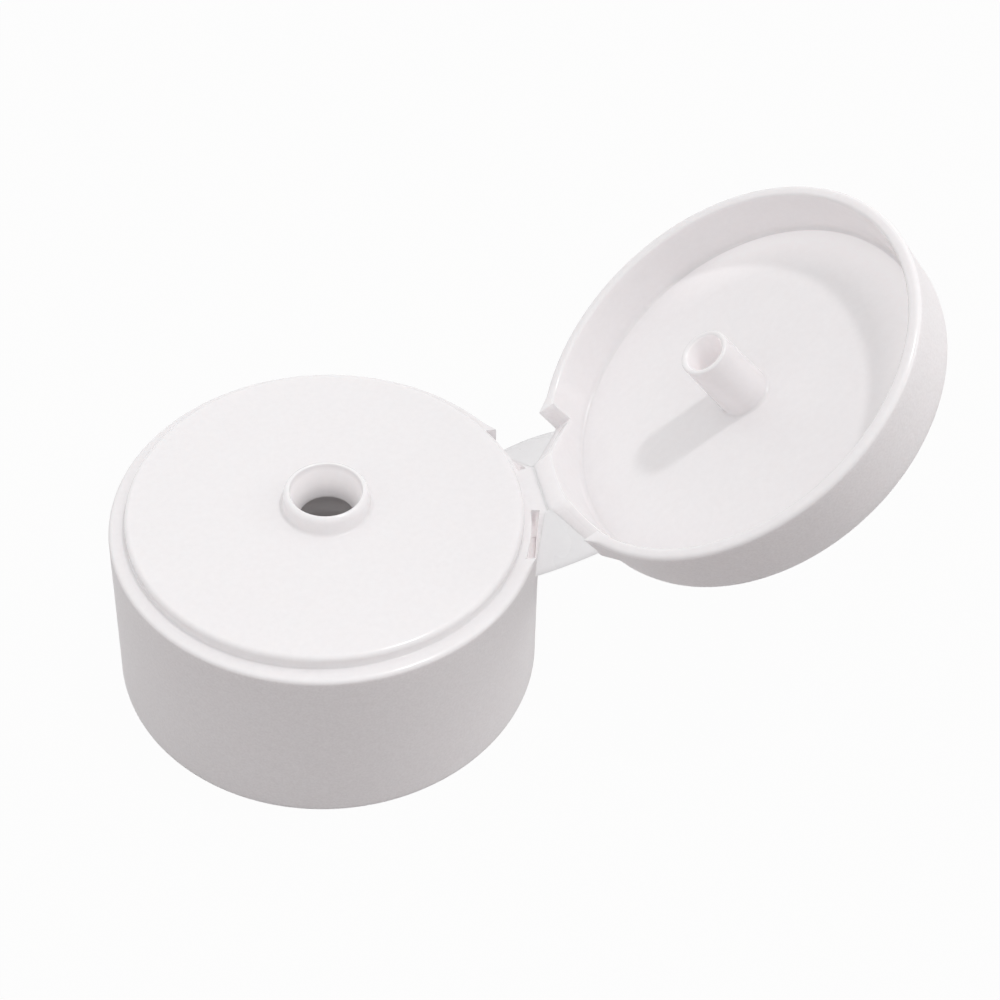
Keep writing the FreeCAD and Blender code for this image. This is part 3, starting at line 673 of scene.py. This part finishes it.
around = np.linspace(0, math.tau, 24, endpoint=False)
bead_y = np.concatenate([
    [-FILM_HALF, -FILM_HALF + 0.04], np.linspace(-2.8, 2.8, 15), [FILM_HALF - 0.04, FILM_HALF]])
bead_r = np.interp(np.abs(bead_y), [2.8, FILM_HALF], [BEAD_R, BEAD_END_R])
bead_points = np.stack([
    HINGE_X + bead_r[:, None] * np.cos(around), bead_y[:, None] + 0 * around,
    HINGE_Z - BEAD_DROP + bead_r[:, None] * np.sin(around),
], axis=-1)
mesh_piece("middle_film", bead_points, False, "base")

# %% [markdown]
# ## The ribs
#
# Under the deck eight thin ribs tie the socket to the skirt. Each is a flat plate with a slightly
# hollow lower edge, stood on its own angle between the walls, and its ends go into both of them.

# %% Ribs
RIBS = 8
RIB_HALF = 0.45
RIB_FOOT = 5.0
RIB_INNER, RIB_OUTER = 15.0, 19.5


def rib_points(angle):
    """A plate between sleeve and skirt: rings across its thickness, columns round its outline."""
    share = np.linspace(0, 1, 9)
    lower = np.stack([
        RIB_INNER + (RIB_OUTER - RIB_INNER) * share, RIB_FOOT + 0.5 * np.sin(math.pi * share)], axis=-1)
    outline = np.vstack([lower, [[19.1, 12.8], [17.6, 13.4], [17.6, 17.7], [RIB_INNER, 17.7]]])
    across = np.array([-RIB_HALF, 0.07 - RIB_HALF, RIB_HALF - 0.07, RIB_HALF])[:, None]
    inset = np.array([0.007, 0.0, 0.0, 0.007])[:, None, None]
    r, z = np.moveaxis(outline + (outline.mean(axis=0) - outline) * inset, -1, 0)
    c, s = math.cos(angle), math.sin(angle)
    return np.stack([r * c - across * s, r * s + across * c, z], axis=-1)


for number in range(RIBS):
    angle = math.tau * (number + 0.5) / RIBS
    mesh_piece(f"rib_{number + 1}", rib_points(angle), False, "base")

# %% [markdown]
# ## White polypropylene
#
# Polypropylene is a milky plastic: light goes a little way in, so shadows in it are soft and its whites
# are warm. Outside, the mould is spark eroded, which leaves a fine even grain and a satin look. Inside
# the lid and on the deck it is polished. A plain white with one roughness would look like paint. So the
# grain attribute sets bump and roughness, and two noises vary the white by a few shades: the flow of
# the melt, and the grain's own noise, which deepens the white where there is grain.

# %% Helpers for materials


def linear(code):
    """An sRGB colour written as hex, turned to linear values."""
    parts = [int(code[i:i + 2], 16) / 255 for i in (0, 2, 4)]
    return [p / 12.92 if p <= 0.04045 else ((p + 0.055) / 1.055) ** 2.4 for p in parts] + [1.0]


def node(tree, kind, settings=(), links=()):
    """Adds a node, sets its properties and input values, and links its inputs to other nodes' outputs."""
    new = tree.nodes.new(kind)
    for name, setting in dict(settings).items():
        if isinstance(name, int) or name in new.inputs:
            new.inputs[name].default_value = setting
        else:
            setattr(new, name, setting)
    for name, (other, output) in dict(links).items():
        tree.links.new(other.outputs[output], new.inputs[name])
    return new


def new_tree(owner):
    """The owner's empty node tree."""
    owner.use_nodes = True
    owner.node_tree.nodes.clear()
    return owner.node_tree


print("white polypropylene is about", [round(v, 2) for v in linear("f6f3f4")[:3]], "in linear values")

# %% Polypropylene
GRAIN_SIZE = 0.22  # mm across, within the 0.1 to 0.3 mm of a spark eroded mould
FLOW_SIZE = 0.6  # streaks of the melt, in mm
SINK_SIZE = 9.0  # broad unevenness of the gloss, in mm
GRAIN_HEIGHT = 0.02  # mm
# painted light: the colour of the glow that the material adds as a weak light of its own
PAINTED_GLOW_COLOUR = "fffcfb"  # light that has come through the wall is a little warm


def noise(tree, place, size, detail, roughness=0.5):
    """A noise whose features are about as large as the size in mm."""
    settings = {"Scale": 1 / (size * MM), "Detail": detail, "Roughness": roughness}
    return node(tree, "ShaderNodeTexNoise", settings, {"Vector": (place, "Object")})


def plastic(name, pale, deep, roughness, subsurface):
    """A moulded plastic: satin where the piece's grain attribute is 1 and polished where it is 0."""
    material = bpy.data.materials.new(name)
    tree = new_tree(material)
    place = node(tree, "ShaderNodeTexCoord")
    grain = node(tree, "ShaderNodeAttribute", {"attribute_name": "grain"})
    fine, broad = noise(tree, place, GRAIN_SIZE, 2.0), noise(tree, place, SINK_SIZE, 3.0)
    flow = noise(tree, place, FLOW_SIZE, 4.0, 0.6)

    # bump: the grain where there is grain, and a trace of it where the mould is polished
    strength = node(tree, "ShaderNodeMath", {"operation": "MULTIPLY_ADD", 1: 0.5, 2: 0.06},
                    {0: (grain, "Fac")})
    bump = node(tree, "ShaderNodeBump", {"Distance": GRAIN_HEIGHT * MM},
                {"Height": (fine, "Fac"), "Strength": (strength, "Value")})

    # roughness: from polished to satin, slightly uneven
    rough = node(tree, "ShaderNodeMapRange", {"To Min": roughness[0], "To Max": roughness[1]},
                 {"Value": (grain, "Fac")})
    uneven = node(tree, "ShaderNodeMath", {"operation": "MULTIPLY_ADD", 1: 0.06},
                  {0: (broad, "Fac"), 2: (rough, "Result")})

    # colour: the flow everywhere, and the grain's noise where there is grain
    fleck = node(tree, "ShaderNodeMath", {"operation": "MULTIPLY"}, {0: (fine, "Fac"), 1: (grain, "Fac")})
    both = node(tree, "ShaderNodeMath", {"operation": "MULTIPLY_ADD", 1: 2.6},
                {0: (fleck, "Value"), 2: (flow, "Fac")})
    tint = node(tree, "ShaderNodeMapRange", {"From Min": 0.2, "From Max": 2.3}, {"Value": (both, "Value")})
    colour = node(tree, "ShaderNodeMix", {"data_type": "RGBA", 6: linear(pale), 7: linear(deep)},
                  {0: (tint, "Result")})

    # painted light: the glow attribute sets the emission strength of the surface
    through = node(tree, "ShaderNodeAttribute", {"attribute_name": "glow"})
    shader = node(tree, "ShaderNodeBsdfPrincipled", {
        "IOR": 1.49, "Emission Color": linear(PAINTED_GLOW_COLOUR), "Subsurface Weight": subsurface,
        "Subsurface Radius": (1.0, 0.95, 0.93), "Subsurface Scale": 0.6 * MM,
    }, {
        "Base Color": (colour, 2), "Roughness": (uneven, "Value"), "Normal": (bump, "Normal"),
        "Emission Strength": (through, "Fac"),
    })
    node(tree, "ShaderNodeOutputMaterial", (), {"Surface": (shader, "BSDF")})
    return material


# white polypropylene, injection moulded: soft milky white, satin outside and glossy inside
white = plastic("white_polypropylene_moulded", "f6f3f4", "e8e4e5", (0.16, 0.42), 0.6)
# the same plastic as thin film, stretched by folding and satin on both sides, and a shade greyer, which is
# painted shade that darkens the wings
film = plastic("polypropylene_hinge_film", "f1f0f1", "e4e2e4", (0.25, 0.35), 0.25)
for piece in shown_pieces():
    if piece.type == "MESH" and not piece.hide_render:
        piece.data.materials.clear()
        piece.data.materials.append(film if "film" in piece.name else white)
print("materials:", white.name, film.name)

# %% [markdown]
# ## The floor
#
# The cap stands on white paper. A floor that is only lit would need far more light than the cap bears
# before it looks white. So most of what the camera sees of it is its own white, and a small share is
# real paper, which keeps a soft shadow. Under the cap, where its hollow hides the light, all of it is
# paper, so the orifice stays dark.

# %% Floor
FLOOR_HALF = 3.0  # m
FLOOR_DROP = 0.0002  # m below the foot, so that the two never share a surface
OWN_WHITE = 0.97
UNDER_CAP = (17 * MM, 19 * MM)  # the floor's own white starts between these distances from the axis


def seen_directly(tree):
    """1 for a ray from the camera or a mirroring surface, and otherwise 0."""
    path = node(tree, "ShaderNodeLightPath")
    return path, node(tree, "ShaderNodeMath", {"operation": "MAXIMUM"},
                      {0: (path, "Is Camera Ray"), 1: (path, "Is Glossy Ray")})


def floor_material():
    """White paper: mostly its own white to the camera, with part of the real shadow."""
    material = bpy.data.materials.new("floor_paper")
    tree = new_tree(material)
    path, direct = seen_directly(tree)
    clear = node(tree, "ShaderNodeMath", {"operation": "MAXIMUM"},
                 {0: (direct, "Value"), 1: (path, "Is Transmission Ray")})
    place = node(tree, "ShaderNodeTexCoord")
    off_axis = node(tree, "ShaderNodeVectorMath", {"operation": "LENGTH"}, {0: (place, "Object")})
    own = node(tree, "ShaderNodeMapRange",
               {"From Min": UNDER_CAP[0], "From Max": UNDER_CAP[1], "To Max": OWN_WHITE},
               {"Value": (off_axis, "Value")})
    share = node(tree, "ShaderNodeMath", {"operation": "MULTIPLY"},
                 {0: (clear, "Value"), 1: (own, "Result")})
    paper = node(tree, "ShaderNodeBsdfDiffuse", {"Color": linear("989292")})
    glow = node(tree, "ShaderNodeEmission", {"Strength": 1.0})
    mix = node(tree, "ShaderNodeMixShader", (),
               {"Fac": (share, "Value"), 1: (paper, "BSDF"), 2: (glow, "Emission")})
    node(tree, "ShaderNodeOutputMaterial", (), {"Surface": (mix, "Shader")})
    return material


corners = [(-FLOOR_HALF, -FLOOR_HALF, 0), (FLOOR_HALF, -FLOOR_HALF, 0),
           (FLOOR_HALF, FLOOR_HALF, 0), (-FLOOR_HALF, FLOOR_HALF, 0)]
floor_mesh = bpy.data.meshes.new("floor")
floor_mesh.from_pydata(corners, [], [(0, 1, 2, 3)])
floor_mesh.materials.append(floor_material())
floor = bpy.data.objects.new("floor", floor_mesh)
floor.location.z = -FLOOR_DROP
bpy.context.scene.collection.objects.link(floor)
print("the floor is", 2 * FLOOR_HALF, "m wide")

# %% [markdown]
# ## The light
#
# White plastic shows its form only by small steps of grey, so most of the light is an even sky. A small
# lamp almost overhead gives the pin and the lid's wall their shadows. Two broad lamps, low on the right
# and on the left, lift the sides that face them, and three tiny ones leave bright points on the
# polished edges.

# %% Light
SKY = 0.73  # the sky's strength as light. To the camera and in reflections it is white

world = bpy.data.worlds.new("studio")
bpy.context.scene.world = world
tree = new_tree(world)
path, direct = seen_directly(tree)
level = node(tree, "ShaderNodeMapRange", {"To Min": SKY, "To Max": 1.0}, {"Value": (direct, "Value")})
sky = node(tree, "ShaderNodeBackground", {"Color": linear("ffffff")}, {"Strength": (level, "Result")})
node(tree, "ShaderNodeOutputWorld", (), {"Surface": (sky, "Background")})


def lamp(name, towards, distance, size, power, target=(0.012, 0.0, 0.018)):
    """A square area light that stands off in a direction, at a distance in m, and looks at the cap."""
    data = bpy.data.lights.new(name, "AREA")
    data.size = size
    data.energy = power
    light = bpy.data.objects.new(name, data)
    bpy.context.scene.collection.objects.link(light)
    away = unit(np.array(towards, float))
    side = unit(np.cross([0, 0, 1], away))
    turned = np.eye(4)
    turned[:3] = np.stack([side, np.cross(away, side), away, np.array(target) + away * distance], axis=1)
    light.matrix_world = Matrix(turned.tolist())


lamp("key", (0.255, -0.004, 0.967), 0.6, 0.04, 0.75)
lamp("broad_right", (0.9, -0.1, 0.3), 0.7, 0.4, 0.85)
lamp("broad_left", (-0.9, -0.2, 0.35), 0.7, 0.4, 0.24)
lamp("point_front", (-0.06, -0.56, 0.83), 0.6, 0.006, 0.035)
lamp("point_right", (0.51, 0.16, 0.85), 0.6, 0.006, 0.035)
lamp("point_left", (-0.45, 0.26, 0.85), 0.6, 0.006, 0.035)
print("lamps:", len(bpy.data.lights))

# %% [markdown]
# ## The camera
#
# It stands in front of the cap and a little to the left, about 8 ledge radii away, looks down at 45
# degrees, and leans over slightly.

# %% Camera
ELEVATION = math.radians(45.29)
HEADING = math.radians(15.735)
ROLL = math.radians(4.54)
EYE = np.array([-0.6014, -5.0991, 6.2015])  # in ledge radii

forward = np.array([
    math.cos(ELEVATION) * math.sin(HEADING), math.cos(ELEVATION) * math.cos(HEADING), -math.sin(ELEVATION)])
level_right = np.array([math.cos(HEADING), -math.sin(HEADING), 0])
level_up = np.cross(level_right, forward)
right = math.cos(ROLL) * level_right + math.sin(ROLL) * level_up
up = math.cos(ROLL) * level_up - math.sin(ROLL) * level_right

data = bpy.data.cameras.new("camera")
data.lens = 56.4
data.sensor_width = 36.0
data.clip_start = 0.01
camera = bpy.data.objects.new("camera", data)
turned = np.eye(4)
turned[:3] = np.stack([right, up, -forward, EYE * LEDGE_R * MM], axis=1)
camera.matrix_world = Matrix(turned.tolist())
bpy.context.scene.collection.objects.link(camera)
bpy.context.scene.camera = camera
bpy.context.scene.view_settings.view_transform = "Standard"
print(f"the camera is {np.linalg.norm(EYE) * LEDGE_R * MM:.3f} m from the cap's foot")
